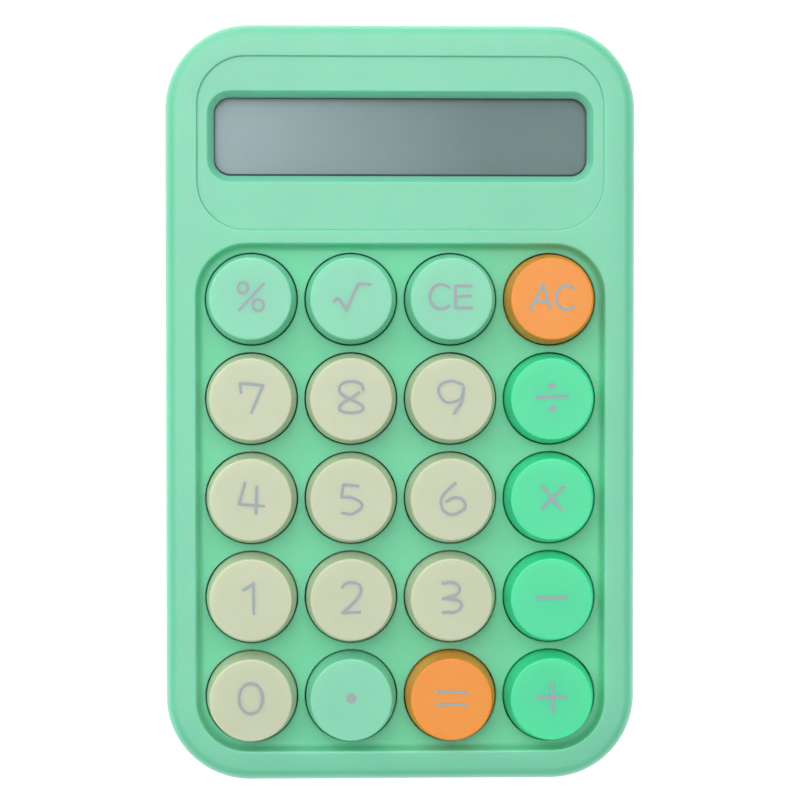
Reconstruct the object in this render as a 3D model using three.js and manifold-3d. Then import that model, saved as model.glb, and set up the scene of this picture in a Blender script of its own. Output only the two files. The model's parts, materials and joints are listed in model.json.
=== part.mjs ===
// Desk calculator with round keys: a tilted deck with a display and a key well, on a level battery base.
// Units are millimetres. +X is right, +Y is towards the display and +Z is up.
// The origin is on the desk, below the middle of the body.

import * as THREE from "three";
import { mergeVertices } from "three/addons/utils/BufferGeometryUtils.js";
import Module from "manifold-3d";

const wasm = await Module();
wasm.setup();

// Body, seen square to the deck
const WIDTH = 98;
const LENGTH = 157.5;
const CORNER_R = 17.5;
const WALL = 2.2;
const TOP_FILLET = 2.5;
const BASE_FILLET = 3;
const BODY_CURVE = 4; // segments of a quarter turn of an outline
const DECK_TILT = THREE.MathUtils.degToRad(2); // the display end stands higher
const DECK_HEIGHT = 23.1; // rim above the desk, at the middle of the body
const GAP = 0.3; // between pieces that would touch

// Levels square to the deck, measured down from the rim
const ROOF_INSIDE = -1.9;
const PART_LINE = -10;
const LIP_TOP = -8.6;
const LIP_THICK = 0.9;
const LIP_ROOT = -13;
const SCREW_SEAT = -17;
const POST_TOP = -12; // where a screw post of the top case meets one of the base

// Key well and keys
const PITCH = 20.75;
const WELL_RIM = 6.6; // between the outline and the well, at the sides
const FRONT_RIM = 6.4;
const WELL_WIDTH = WIDTH - 2 * WELL_RIM;
const WELL_LENGTH = 105.4;
const WELL_R = 10.5;
const WELL_FLOOR = -3;
const WELL_UNDERSIDE = -4.8;
const WELL_WALL = 1.8;
const WELL_Y = -LENGTH / 2 + FRONT_RIM + WELL_LENGTH / 2;
const KEY_GRID_Y = WELL_Y - 0.2;
const KEY_HOLE_R = 9.7;
const KEY_ROWS = [
  ["percent", "root", "clear_entry", "all_clear"],
  ["7", "8", "9", "divide"],
  ["4", "5", "6", "multiply"],
  ["1", "2", "3", "minus"],
  ["0", "point", "equals", "plus"],
];

// Key cap, with the stem that drives its switch
const CAP_TOP = 3.5;
const CAP_TOP_R = 8.2;
const CAP_SHOULDER = 0.35;
const CAP_SKIRT_R = 9.4;
const CAP_SKIRT_TOP = -2.8;
const CAP_SKIRT_END = -6.8;
const CAP_WALL = 1;
const CAP_CEILING = 2.2;
const STEM_R = 2.2;
const STEM_END = -9;
const KEY_SIDES = 20;

// Switch housing and circuit board
const SWITCH_SIDE = 13.8;
const SWITCH_SHOULDER = -10.4;
const HOOD_SIDE = 10.4;
const HOOD_TOP_SIDE = 9.4;
const HOOD_TOP = -6.4;
const STEM_BORE_R = 2.6;
const STEM_BORE_END = -13;
const BOARD_TOP = -15.4;
const BOARD_THICK = 1.6;
const BOARD_WIDTH = 82;
const BOARD_FRONT = -71;
const BOARD_BACK = 38;

// Display
const PANEL_RIM = 6.85; // between the outline and the panel
const PANEL_WIDTH = WIDTH - 2 * PANEL_RIM;
const PANEL_LENGTH = 35.7;
const PANEL_R = 10;
const PANEL_DEPTH = 0.4;
const PANEL_Y = LENGTH / 2 - PANEL_RIM - PANEL_LENGTH / 2;
const WINDOW_WIDTH = 77.6;
const WINDOW_LENGTH = 16.2;
const WINDOW_R = 3.4;
const WINDOW_Y = 55.4;
const BEVEL_WIDTH = 1.35;
const BEVEL_DEPTH = 1.2;
const LENS_THICK = 1;
const LENS_MARGIN = 2.2;
const LENS_R = 2;
const LCD_WIDTH = 83;
const LCD_LENGTH = 21.6;
const LCD_THICK = 2;
const HOLDER_THICK = 1.6;
const HOLDER_SHORTER = 4; // than the display glass, at the front
const HOLDER_ARM = 4;
const HOLDER_END = 7;
const RIBBON_WIDTH = 44;
const RIBBON_THICK = 0.4;
const RIBBON_LAP = 3; // flat length at each end, on the display glass and on the board
const CHIP_SIDE = 7;
const CHIP_THICK = 1.2;
const CHIP_X = 31;

// Base
const UNDERSIDE = 0.8; // height above the desk
const FLOOR_TOP = 2.8;
const FOOT_R = 5;
const FOOT_THICK = 1.1;
const FOOT_SPOTS = [[-37, -62], [37, -62], [-37, 55], [37, 55]];
const BOARD_POST_R = 2.4;

// Posts stand between the keys, so their places are given in steps of the key grid from its middle.
const BOARD_POSTS = [[-1, 1.5], [1, 1.5], [0, -0.5], [0, 0.5]].map(betweenKeys);

// Case screws, two between the front keys and two behind the display
const POST_SPOTS = [...[[-1, -1.5], [1, -1.5]].map(betweenKeys), [-39.2, 69], [39.2, 69]];
const TOP_POST_R = 2.5;
const BASE_POST_R = 4;
const SCREW_R = 1.1;
const SCREW_HOLE_R = 1.4;
const SCREW_LENGTH = 9;
const SCREW_HEAD_R = 2.1;
const SCREW_HEAD = 1.5;
const SCREW_SLOT = { length: 2.8, width: 0.6, depth: 0.7 };
const COUNTERBORE_R = 2.5;

// Battery bay, for one AAA cell lying across the body, and its door
const CELL_R = 5.25;
const CELL_LENGTH = 44.5;
const CELL_NUB = 0.8;
const CELL_NUB_R = 1.9;
const CELL_EDGE = 0.5;
const BAY_Y = 52;
const BAY_WALL = 1.5;
const BAY_SLACK = 0.35;
const SPRING_LENGTH = 3.6;
const SPRING_R = 3.2;
const SPRING_WIRE_R = 0.4;
const CONTACT_THICK = 0.5;
const DOOR_WIDTH = 56;
const DOOR_LENGTH = 17.4;
const DOOR_BOTTOM = 1.2;
const DOOR_THICK = 1.8;
const DOOR_PIN_R = 0.5;
const DOOR_PIN_LENGTH = 1;
const DOOR_FRAME = 1.6; // height of the raised floor round the door
const SCOOP_R = 6;
const SCOOP_DEPTH = 0.8;
const GRIP = { length: 12, width: 0.8, depth: 0.4, step: 2.4, y: -3 }; // grooves across the door
const BAY_LENGTH = CELL_LENGTH + SPRING_LENGTH + CONTACT_THICK + 4 * BAY_SLACK;
const BAY_WIDTH = 2 * (CELL_R + BAY_SLACK);
const CELL_Z = DOOR_BOTTOM + DOOR_THICK + BAY_SLACK + CELL_R;
const BAY_ROOF = CELL_Z + CELL_R + BAY_SLACK;
const HINGE_Y = BAY_Y + DOOR_LENGTH / 2 - DOOR_THICK / 2;
const HINGE_Z = DOOR_BOTTOM + DOOR_THICK / 2;

// The deck leans about the X axis, and is moved along Y so that the whole body stands over the origin.
const DECK_Y = -0.5 * (TOP_FILLET - PART_LINE) * Math.sin(DECK_TILT);
const BASE_Y = DECK_Y - PART_LINE * Math.sin(DECK_TILT);
const BASE_LENGTH = LENGTH * Math.cos(DECK_TILT);
const DECK_MATRIX = new THREE.Matrix4().makeRotationX(DECK_TILT).setPosition(0, DECK_Y, DECK_HEIGHT);

function betweenKeys([columns, rows]) {
  return [columns * PITCH, KEY_GRID_Y + rows * PITCH];
}

function plastic(colour, roughness) {
  return new THREE.MeshStandardMaterial({ color: colour, roughness, metalness: 0 });
}

function metal(colour, roughness) {
  return new THREE.MeshStandardMaterial({ color: colour, roughness, metalness: 1 });
}

const CASE_MINT = plastic(0x93dcbb, 0.45);
const KEY_MINT = plastic(0x98dfbf, 0.4);
const KEY_CREAM = plastic(0xcdd5bc, 0.4);
const KEY_GREEN = plastic(0x68e1aa, 0.4);
const KEY_ORANGE = plastic(0xf9a055, 0.4);
const CLEAR_ACRYLIC = new THREE.MeshStandardMaterial({
  color: 0xdfe8e6,
  roughness: 0.05,
  metalness: 0,
  transparent: true,
  opacity: 0.3,
});
const LCD_GREY = plastic(0x8ca09c, 0.2);
const WHITE_PLASTIC = plastic(0xe4e4df, 0.5);
const RIBBON_AMBER = plastic(0xa8742c, 0.4);
const BOARD_GREEN = plastic(0x1e5b3a, 0.4);
const CHIP_BLACK = plastic(0x17181a, 0.6);
const SWITCH_BLACK = plastic(0x202324, 0.5);
const FOOT_RUBBER = plastic(0x3a3d3f, 0.85);
const CELL_WRAP = plastic(0x2f5f8f, 0.3);
const STEEL = metal(0xb5b8ba, 0.3);

// A closed geometry as a solid that can be joined and cut.
function solid(geometry) {
  const bare = geometry.clone();
  bare.deleteAttribute("normal");
  bare.deleteAttribute("uv");
  const merged = mergeVertices(bare, 1e-4);
  return new wasm.Manifold(
    new wasm.Mesh({
      numProp: 3,
      vertProperties: new Float32Array(merged.attributes.position.array),
      triVerts: new Uint32Array(merged.index.array),
    }),
  );
}

function meshOf(name, shape, material) {
  const made = shape.getMesh();
  const geometry = new THREE.BufferGeometry();
  geometry.setAttribute("position", new THREE.BufferAttribute(made.vertProperties, 3));
  geometry.setIndex(new THREE.BufferAttribute(made.triVerts, 1));
  geometry.computeVertexNormals();
  const mesh = new THREE.Mesh(geometry, material);
  mesh.name = name;
  return mesh;
}

function roundedRect(width, length, radius) {
  const x = width / 2 - radius;
  const y = length / 2 - radius;
  const outline = new THREE.Shape();
  outline.absarc(x, y, radius, 0, Math.PI / 2);
  outline.absarc(-x, y, radius, Math.PI / 2, Math.PI);
  outline.absarc(-x, -y, radius, Math.PI, 1.5 * Math.PI);
  outline.absarc(x, -y, radius, 1.5 * Math.PI, 2 * Math.PI);
  outline.closePath();
  return outline;
}

// A rounded rectangle from one level up to another.
function slab(width, length, radius, low, high, y = 0) {
  const geometry = new THREE.ExtrudeGeometry(roundedRect(width, length, radius), {
    depth: high - low,
    bevelEnabled: false,
    curveSegments: BODY_CURVE,
  });
  return geometry.translate(0, y, low);
}

// A slab with both of its edges rounded.
function pebble(width, length, radius, low, high, fillet, y = 0) {
  const geometry = new THREE.ExtrudeGeometry(roundedRect(width, length, radius), {
    depth: high - low - 2 * fillet,
    bevelThickness: fillet,
    bevelSize: fillet,
    bevelOffset: -fillet,
    bevelSegments: 3,
    curveSegments: BODY_CURVE,
  });
  return geometry.translate(0, y, low + fillet);
}

function block(width, length, low, high, x = 0, y = 0) {
  return new THREE.BoxGeometry(width, length, high - low).translate(x, y, (low + high) / 2);
}

function rod(radius, low, high, x, y, sides = 16) {
  const geometry = new THREE.CylinderGeometry(radius, radius, high - low, sides);
  return geometry.rotateX(Math.PI / 2).translate(x, y, (low + high) / 2);
}

// A profile of [radius, height] pairs, turned about the Z axis.
function turned(profile, sides) {
  const points = profile.map(([radius, height]) => new THREE.Vector2(radius, height));
  return new THREE.LatheGeometry(points, sides).rotateX(Math.PI / 2);
}

function onDeck(geometry) {
  return geometry.applyMatrix4(DECK_MATRIX);
}

function cutAll(body, tools) {
  return tools.reduce((left, tool) => left.subtract(solid(tool)), body);
}

function joinAll(body, pieces) {
  return pieces.reduce((whole, piece) => whole.add(solid(piece)), body);
}

function keySpots() {
  return KEY_ROWS.flatMap((row, r) =>
    row.map((name, c) => ({ name, x: (c - 1.5) * PITCH, y: KEY_GRID_Y + (2 - r) * PITCH })),
  );
}

// The window opening: straight through the roof, with a bevel that widens upwards.
function windowTools() {
  const bevel = new THREE.ExtrudeGeometry(roundedRect(WINDOW_WIDTH, WINDOW_LENGTH, WINDOW_R), {
    depth: 1, // reaches above the deck
    bevelThickness: BEVEL_DEPTH,
    bevelSize: BEVEL_WIDTH,
    bevelSegments: 1,
    curveSegments: 3,
  });
  const opening = slab(WINDOW_WIDTH, WINDOW_LENGTH, WINDOW_R, ROOF_INSIDE - 1, -PANEL_DEPTH, WINDOW_Y);
  return [bevel.translate(0, WINDOW_Y, -PANEL_DEPTH), opening];
}

function topCase() {
  const inside = slab(WIDTH - 2 * WALL, LENGTH - 2 * WALL, CORNER_R - WALL, PART_LINE - 1, ROOF_INSIDE);
  const wellBlock = slab(
    WELL_WIDTH + 2 * WELL_WALL,
    WELL_LENGTH + 2 * WELL_WALL,
    WELL_R + WELL_WALL,
    WELL_UNDERSIDE,
    1,
    WELL_Y,
  );
  const hollow = solid(inside).subtract(solid(wellBlock));
  const outer = pebble(WIDTH, LENGTH, CORNER_R, 2 * PART_LINE, 0, TOP_FILLET);
  const below = block(2 * WIDTH, 2 * LENGTH, 3 * PART_LINE, PART_LINE);
  const shell = cutAll(solid(outer), [below]).subtract(hollow);
  const open = cutAll(shell, [
    slab(WELL_WIDTH, WELL_LENGTH, WELL_R, WELL_FLOOR, 1, WELL_Y),
    slab(PANEL_WIDTH, PANEL_LENGTH, PANEL_R, -PANEL_DEPTH, 1, PANEL_Y),
    ...windowTools(),
    ...keySpots().map(({ x, y }) => rod(KEY_HOLE_R, WELL_UNDERSIDE - 1, WELL_FLOOR + 1, x, y, KEY_SIDES)),
  ]);
  const posts = POST_SPOTS.map(([x, y]) => {
    const top = y < 0 ? WELL_UNDERSIDE : ROOF_INSIDE;
    return rod(TOP_POST_R, POST_TOP, top + 0.5, x, y);
  });
  const boardPosts = BOARD_POSTS.map(([x, y]) =>
    rod(BOARD_POST_R, BOARD_TOP + GAP, WELL_UNDERSIDE + 0.5, x, y, 12),
  );
  const pilots = POST_SPOTS.map(([x, y]) =>
    rod(SCREW_HOLE_R, POST_TOP - 1, SCREW_SEAT + SCREW_LENGTH + 2 * GAP, x, y, 12),
  );
  return meshOf("top_case", cutAll(joinAll(open, [...posts, ...boardPosts]), pilots), CASE_MINT);
}

function keyCap({ name, x, y }, material) {
  const shoulder = CAP_TOP_R + CAP_SHOULDER;
  const profile = [
    [0, STEM_END],
    [STEM_R, STEM_END],
    [STEM_R, CAP_CEILING],
    [shoulder - CAP_WALL, CAP_CEILING],
    [CAP_SKIRT_R - CAP_WALL, CAP_SKIRT_TOP],
    [CAP_SKIRT_R - CAP_WALL, CAP_SKIRT_END],
    [CAP_SKIRT_R, CAP_SKIRT_END],
    [CAP_SKIRT_R, CAP_SKIRT_TOP],
    [shoulder, CAP_TOP - CAP_SHOULDER],
    [CAP_TOP_R, CAP_TOP],
    [0, CAP_TOP],
  ];
  const mesh = meshOf("keycap_" + name, solid(turned(profile, KEY_SIDES)), material);
  mesh.position.set(x, y, 0);
  return mesh;
}

function switchHousing({ name, x, y }) {
  const base = block(SWITCH_SIDE, SWITCH_SIDE, BOARD_TOP + GAP, SWITCH_SHOULDER);
  const reach = Math.SQRT1_2;
  const height = HOOD_TOP - SWITCH_SHOULDER + 0.5;
  const hood = new THREE.CylinderGeometry(HOOD_TOP_SIDE * reach, HOOD_SIDE * reach, height, 4)
    .rotateX(Math.PI / 2)
    .rotateZ(Math.PI / 4)
    .translate(0, 0, HOOD_TOP - height / 2);
  const bore = rod(STEM_BORE_R, STEM_BORE_END, HOOD_TOP + 1, 0, 0, 12);
  const mesh = meshOf("switch_" + name, cutAll(joinAll(solid(base), [hood]), [bore]), SWITCH_BLACK);
  mesh.position.set(x, y, 0);
  return mesh;
}

function mainBoard() {
  const length = BOARD_BACK - BOARD_FRONT;
  const low = BOARD_TOP - BOARD_THICK;
  const blank = slab(BOARD_WIDTH, length, 3, low, BOARD_TOP, (BOARD_FRONT + BOARD_BACK) / 2);
  const holes = POST_SPOTS.filter(([, y]) => y < 0).map(([x, y]) =>
    rod(BASE_POST_R + 0.4, low - 1, BOARD_TOP + 1, x, y),
  );
  return meshOf("main_board", cutAll(solid(blank), holes), BOARD_GREEN);
}

function controllerChip() {
  const low = BOARD_TOP + GAP;
  const body = block(CHIP_SIDE, CHIP_SIDE, low, low + CHIP_THICK, CHIP_X, BOARD_BACK - 5);
  return meshOf("controller_chip", solid(body), CHIP_BLACK);
}

const LENS_TOP = ROOF_INSIDE - GAP;
const LCD_TOP = LENS_TOP - LENS_THICK - GAP;
const HOLDER_TOP = LCD_TOP - LCD_THICK - GAP;

function displayLens() {
  const width = WINDOW_WIDTH + 2 * LENS_MARGIN;
  const length = WINDOW_LENGTH + 2 * LENS_MARGIN;
  const pane = slab(width, length, LENS_R, LENS_TOP - LENS_THICK, LENS_TOP, WINDOW_Y);
  return meshOf("display_lens", solid(pane), CLEAR_ACRYLIC);
}

function lcdPanel() {
  const glass = block(LCD_WIDTH, LCD_LENGTH, LCD_TOP - LCD_THICK, LCD_TOP, 0, WINDOW_Y);
  return meshOf("lcd_panel", solid(glass), LCD_GREY);
}

// A flat frame behind the display glass, short at the front to leave room for the ribbon.
function lcdHolder() {
  const length = LCD_LENGTH - HOLDER_SHORTER;
  const y = WINDOW_Y + HOLDER_SHORTER / 2;
  const low = HOLDER_TOP - HOLDER_THICK;
  const plate = slab(LCD_WIDTH, length, LENS_R, low, HOLDER_TOP, y);
  const opening = slab(
    LCD_WIDTH - 2 * HOLDER_END,
    length - 2 * HOLDER_ARM,
    LENS_R,
    low - 1,
    HOLDER_TOP + 1,
    y,
  );
  return meshOf("lcd_holder", cutAll(solid(plate), [opening]), WHITE_PLASTIC);
}

// The flat ribbon runs from the front edge of the display glass down to the back of the board.
function lcdRibbon() {
  const upper = HOLDER_TOP - RIBBON_THICK / 2;
  const lower = BOARD_TOP + GAP + RIBBON_THICK / 2;
  const front = WINDOW_Y - LCD_LENGTH / 2;
  const landing = BOARD_BACK - 1;
  const bend = new THREE.CubicBezierCurve3(
    new THREE.Vector3(0, front, upper),
    new THREE.Vector3(0, front - 4, upper),
    new THREE.Vector3(0, landing + 4, lower),
    new THREE.Vector3(0, landing, lower),
  );
  const middle = [
    new THREE.Vector3(0, front + RIBBON_LAP, upper),
    ...bend.getPoints(8),
    new THREE.Vector3(0, landing - RIBBON_LAP, lower),
  ];
  const half = RIBBON_THICK / 2;
  const offset = (side) =>
    middle.map((point, i) => {
      const before = middle[Math.max(i - 1, 0)];
      const after = middle[Math.min(i + 1, middle.length - 1)];
      const along = after.clone().sub(before).normalize();
      return new THREE.Vector2(point.y - side * half * along.z, point.z + side * half * along.y);
    });
  const outline = new THREE.Shape([...offset(1), ...offset(-1).reverse()]);
  const strip = new THREE.ExtrudeGeometry(outline, { depth: RIBBON_WIDTH, bevelEnabled: false });
  // the section lies in Y and Z, and the strip's width runs along X
  const turn = new THREE.Matrix4().makeBasis(
    new THREE.Vector3(0, 1, 0),
    new THREE.Vector3(0, 0, 1),
    new THREE.Vector3(1, 0, 0),
  );
  strip.applyMatrix4(turn.setPosition(-RIBBON_WIDTH / 2, 0, 0));
  return meshOf("lcd_ribbon", solid(strip), RIBBON_AMBER);
}

function caseScrew(index, x, y) {
  const profile = [
    [0, SCREW_SEAT - SCREW_HEAD],
    [SCREW_HEAD_R, SCREW_SEAT - SCREW_HEAD],
    [SCREW_HEAD_R, SCREW_SEAT],
    [SCREW_R, SCREW_SEAT],
    [SCREW_R, SCREW_SEAT + SCREW_LENGTH],
    [0, SCREW_SEAT + SCREW_LENGTH],
  ];
  const bottom = SCREW_SEAT - SCREW_HEAD;
  const slot = block(SCREW_SLOT.length, SCREW_SLOT.width, bottom - 1, bottom + SCREW_SLOT.depth);
  const cross = slot.clone().rotateZ(Math.PI / 2);
  const mesh = meshOf("case_screw_" + index, cutAll(solid(turned(profile, 12)), [slot, cross]), STEEL);
  mesh.position.set(x, y, 0);
  return mesh;
}

// The base's shell, cut off square to the deck, with a lip that stands inside the top case.
function baseShell() {
  const outer = solid(
    pebble(WIDTH, BASE_LENGTH, CORNER_R, UNDERSIDE, 2 * DECK_HEIGHT, BASE_FILLET, BASE_Y),
  );
  const hollow = slab(
    WIDTH - 2 * WALL,
    BASE_LENGTH - 2 * WALL,
    CORNER_R - WALL,
    FLOOR_TOP,
    2 * DECK_HEIGHT,
    BASE_Y,
  );
  const above = onDeck(block(2 * WIDTH, 2 * LENGTH, PART_LINE - GAP, 2 * DECK_HEIGHT));
  const ring = (inset, low, high) =>
    onDeck(slab(WIDTH - 2 * inset, LENGTH - 2 * inset, CORNER_R - inset, low, high));
  const upright = solid(ring(WALL + GAP, LIP_ROOT, LIP_TOP));
  const root = solid(ring(WALL / 2, LIP_ROOT, PART_LINE - GAP)); // overlaps the wall, so that they join
  const bore = solid(ring(WALL + GAP + LIP_THICK, LIP_ROOT - 1, LIP_TOP + 1));
  const lip = upright.add(root).subtract(bore);
  return { outer, shell: cutAll(outer, [hollow, above]).add(lip) };
}

function bottomCase() {
  const { outer, shell } = baseShell();
  const floorLevel = solid(block(2 * WIDTH, 2 * LENGTH, (UNDERSIDE + FLOOR_TOP) / 2, 2 * DECK_HEIGHT));
  const screwPosts = POST_SPOTS.map(([x, y]) =>
    onDeck(rod(BASE_POST_R, -DECK_HEIGHT - 5, POST_TOP - GAP, x, y)),
  );
  const boardPosts = BOARD_POSTS.map(([x, y]) =>
    onDeck(rod(BOARD_POST_R, -DECK_HEIGHT - 5, BOARD_TOP - BOARD_THICK - GAP, x, y, 12)),
  );
  const frameEdge = 2 * (GAP + BAY_WALL);
  const frameWidth = DOOR_WIDTH + frameEdge + DOOR_PIN_LENGTH;
  const bay = [
    block(frameWidth, DOOR_LENGTH + frameEdge, UNDERSIDE, FLOOR_TOP + DOOR_FRAME, 0, BAY_Y),
    block(BAY_LENGTH + 2 * BAY_WALL, BAY_WIDTH + 2 * BAY_WALL, FLOOR_TOP, BAY_ROOF + BAY_WALL, 0, BAY_Y),
  ];
  const posts = joinAll(solid(screwPosts[0]), [...screwPosts.slice(1), ...boardPosts]);
  const inside = joinAll(posts.intersect(floorLevel), bay).intersect(outer);
  const screwHoles = POST_SPOTS.flatMap(([x, y]) => [
    onDeck(rod(SCREW_HOLE_R, SCREW_SEAT - 5, POST_TOP + 1, x, y, 12)),
    onDeck(rod(COUNTERBORE_R, -DECK_HEIGHT - 6, SCREW_SEAT + GAP, x, y)),
  ]);
  const doorRecess = DOOR_BOTTOM + DOOR_THICK + GAP;
  const pinReach = DOOR_WIDTH + 2 * (DOOR_PIN_LENGTH + GAP);
  const cuts = [
    block(DOOR_WIDTH + 2 * GAP, DOOR_LENGTH + 2 * GAP, UNDERSIDE - 1, doorRecess, 0, BAY_Y),
    block(BAY_LENGTH, BAY_WIDTH, UNDERSIDE - 1, BAY_ROOF, 0, BAY_Y),
    rod(DOOR_PIN_R + GAP, -pinReach / 2, pinReach / 2, 0, 0, 12)
      .rotateY(Math.PI / 2)
      .translate(0, HINGE_Y, HINGE_Z),
    rod(SCOOP_R, UNDERSIDE - 1, UNDERSIDE + SCOOP_DEPTH, 0, BAY_Y - DOOR_LENGTH / 2),
    ...FOOT_SPOTS.map(([x, y]) => rod(FOOT_R + GAP, UNDERSIDE - 1, FOOT_THICK + GAP, x, y, 24)),
    ...screwHoles,
  ];
  return meshOf("bottom_case", cutAll(shell.add(inside), cuts), CASE_MINT);
}

// A plate with a round back edge, which turns on two short pins.
function batteryDoor() {
  const edge = DOOR_THICK / 2;
  const plate = block(
    DOOR_WIDTH,
    DOOR_LENGTH - edge,
    DOOR_BOTTOM,
    DOOR_BOTTOM + DOOR_THICK,
    0,
    BAY_Y - edge / 2,
  );
  const along = (radius, length) =>
    rod(radius, -length / 2, length / 2, 0, 0, 12)
      .rotateY(Math.PI / 2)
      .translate(0, HINGE_Y, HINGE_Z);
  const pieces = [along(edge, DOOR_WIDTH), along(DOOR_PIN_R, DOOR_WIDTH + 2 * DOOR_PIN_LENGTH)];
  const grooves = [-1, 0, 1].map((i) => {
    const y = BAY_Y + GRIP.y + GRIP.step * i;
    return block(GRIP.length, GRIP.width, DOOR_BOTTOM - 1, DOOR_BOTTOM + GRIP.depth, 0, y);
  });
  return meshOf("battery_door", cutAll(joinAll(solid(plate), pieces), grooves), CASE_MINT);
}

function alongBay(geometry, x) {
  return geometry.rotateY(Math.PI / 2).translate(x, BAY_Y, CELL_Z);
}

function battery() {
  const left = -BAY_LENGTH / 2 + SPRING_LENGTH + 2 * BAY_SLACK;
  const shoulder = CELL_LENGTH - CELL_NUB;
  const profile = [
    [0, 0],
    [CELL_R - CELL_EDGE, 0],
    [CELL_R, CELL_EDGE],
    [CELL_R, shoulder - CELL_EDGE],
    [CELL_R - CELL_EDGE, shoulder],
    [CELL_NUB_R, shoulder],
    [CELL_NUB_R, CELL_LENGTH],
    [0, CELL_LENGTH],
  ];
  return meshOf("battery", solid(alongBay(turned(profile, 20), left)), CELL_WRAP);
}

function batterySpring() {
  const turns = 3;
  const low = -BAY_LENGTH / 2 + BAY_SLACK + SPRING_WIRE_R;
  const rise = SPRING_LENGTH - 2 * SPRING_WIRE_R;
  class Helix extends THREE.Curve {
    getPoint(t, target = new THREE.Vector3()) {
      const angle = 2 * Math.PI * turns * t;
      return target.set(SPRING_R * Math.cos(angle), SPRING_R * Math.sin(angle), rise * t);
    }
  }
  const section = new THREE.Shape().absarc(0, 0, SPRING_WIRE_R, 0, 2 * Math.PI);
  const wire = new THREE.ExtrudeGeometry(section, {
    steps: 12 * turns,
    extrudePath: new Helix(),
    curveSegments: 3,
  });
  return meshOf("battery_spring", solid(alongBay(wire, low)), STEEL);
}

function batteryContact() {
  const x = BAY_LENGTH / 2 - BAY_SLACK - CONTACT_THICK / 2;
  const side = BAY_WIDTH - 2 * BAY_SLACK - 1;
  const plate = new THREE.BoxGeometry(CONTACT_THICK, side, side).translate(x, BAY_Y, CELL_Z);
  return meshOf("battery_contact", solid(plate), STEEL);
}

function foot(index, x, y) {
  const profile = [
    [0, 0],
    [FOOT_R - 0.4, 0],
    [FOOT_R, 0.4],
    [FOOT_R, FOOT_THICK],
    [0, FOOT_THICK],
  ];
  const mesh = meshOf("foot_" + index, solid(turned(profile, 24)), FOOT_RUBBER);
  mesh.position.set(x, y, 0);
  return mesh;
}

function capMaterial(name) {
  if (name === "all_clear" || name === "equals") return KEY_ORANGE;
  if (/^\d$/.test(name)) return KEY_CREAM;
  return ["divide", "multiply", "minus", "plus"].includes(name) ? KEY_GREEN : KEY_MINT;
}

const deck = new THREE.Group();
deck.rotation.x = DECK_TILT;
deck.position.set(0, DECK_Y, DECK_HEIGHT);
deck.add(topCase(), displayLens(), lcdPanel(), lcdHolder(), lcdRibbon(), mainBoard(), controllerChip());
for (const spot of keySpots()) {
  deck.add(keyCap(spot, capMaterial(spot.name)), switchHousing(spot));
}
POST_SPOTS.forEach(([x, y], i) => deck.add(caseScrew(i + 1, x, y)));

const base = new THREE.Group();
base.add(bottomCase(), batteryDoor(), battery(), batterySpring(), batteryContact());
FOOT_SPOTS.forEach(([x, y], i) => base.add(foot(i + 1, x, y)));

const calculator = new THREE.Group();
calculator.add(deck, base);

export default calculator;
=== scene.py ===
"""Looks of the desk calculator: moulded shells, turned key caps with printed legends, display, feet and fittings.

The shells and caps are modelled in millimetres, in two local frames. The deck frame has its origin in the middle of
the rim's plane, with Z square to the deck. The base frame is level, below it. Both are turned into the row's frame,
in metres, when a mesh is made.
"""

import json
import math

import bmesh
import bpy
import numpy as np
from mathutils import Matrix, Vector


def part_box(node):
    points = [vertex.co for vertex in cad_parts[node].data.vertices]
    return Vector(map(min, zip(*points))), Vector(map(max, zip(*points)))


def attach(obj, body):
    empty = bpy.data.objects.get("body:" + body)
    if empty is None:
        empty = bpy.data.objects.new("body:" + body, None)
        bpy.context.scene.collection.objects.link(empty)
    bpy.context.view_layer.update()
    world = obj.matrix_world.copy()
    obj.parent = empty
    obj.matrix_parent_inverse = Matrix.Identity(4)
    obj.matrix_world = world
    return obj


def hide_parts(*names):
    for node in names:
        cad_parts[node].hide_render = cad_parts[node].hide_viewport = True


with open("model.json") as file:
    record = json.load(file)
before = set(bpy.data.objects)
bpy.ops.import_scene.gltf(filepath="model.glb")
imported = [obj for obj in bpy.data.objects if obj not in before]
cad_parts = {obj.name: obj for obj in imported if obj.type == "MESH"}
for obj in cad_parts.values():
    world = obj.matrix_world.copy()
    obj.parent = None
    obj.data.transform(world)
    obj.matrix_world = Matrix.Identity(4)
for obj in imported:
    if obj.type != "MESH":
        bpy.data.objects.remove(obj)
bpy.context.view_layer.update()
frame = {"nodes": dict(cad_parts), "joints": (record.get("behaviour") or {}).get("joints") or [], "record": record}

MM = 0.001

# ---------------------------------------------------------------- places, worked out from the frame

TOP_FILLET = 2.5
PART_DEPTH = 10.0
CAP_TOP = 3.5
SPLIT = 0.3

press = next(j for j in frame["joints"] if j["name"] == "key_5_press")
TILT = math.asin(press["axis"][1])
SIN, COS = math.sin(TILT), math.cos(TILT)

case_low, case_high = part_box("top_case")
WIDTH = (case_high.x - case_low.x) / MM
LENGTH = ((case_high.y - case_low.y) / MM - (PART_DEPTH - TOP_FILLET) * SIN) / COS
DECK_Y = case_high.y / MM - LENGTH / 2 * COS - PART_DEPTH * SIN
DECK_Z = case_high.z / MM - (LENGTH / 2 - TOP_FILLET) * SIN
CORNER_R = 17.5

SCALE = Matrix.Scale(MM, 4)
DECK = SCALE @ Matrix.Translation((0, DECK_Y, DECK_Z)) @ Matrix.Rotation(TILT, 4, "X")
BASE = SCALE.copy()
TO_DECK = DECK.inverted()


def centre_on_deck(node):
    """The middle of a CAD node's box, in the deck frame, in millimetres."""
    low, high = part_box(node)
    return TO_DECK @ ((low + high) / 2)


KEY_ROWS = [
    ["percent", "root", "clear_entry", "all_clear"],
    ["7", "8", "9", "divide"],
    ["4", "5", "6", "multiply"],
    ["1", "2", "3", "minus"],
    ["0", "point", "equals", "plus"],
]
KEYS = {name: centre_on_deck("keycap_" + name).xy for row in KEY_ROWS for name in row}

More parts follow.
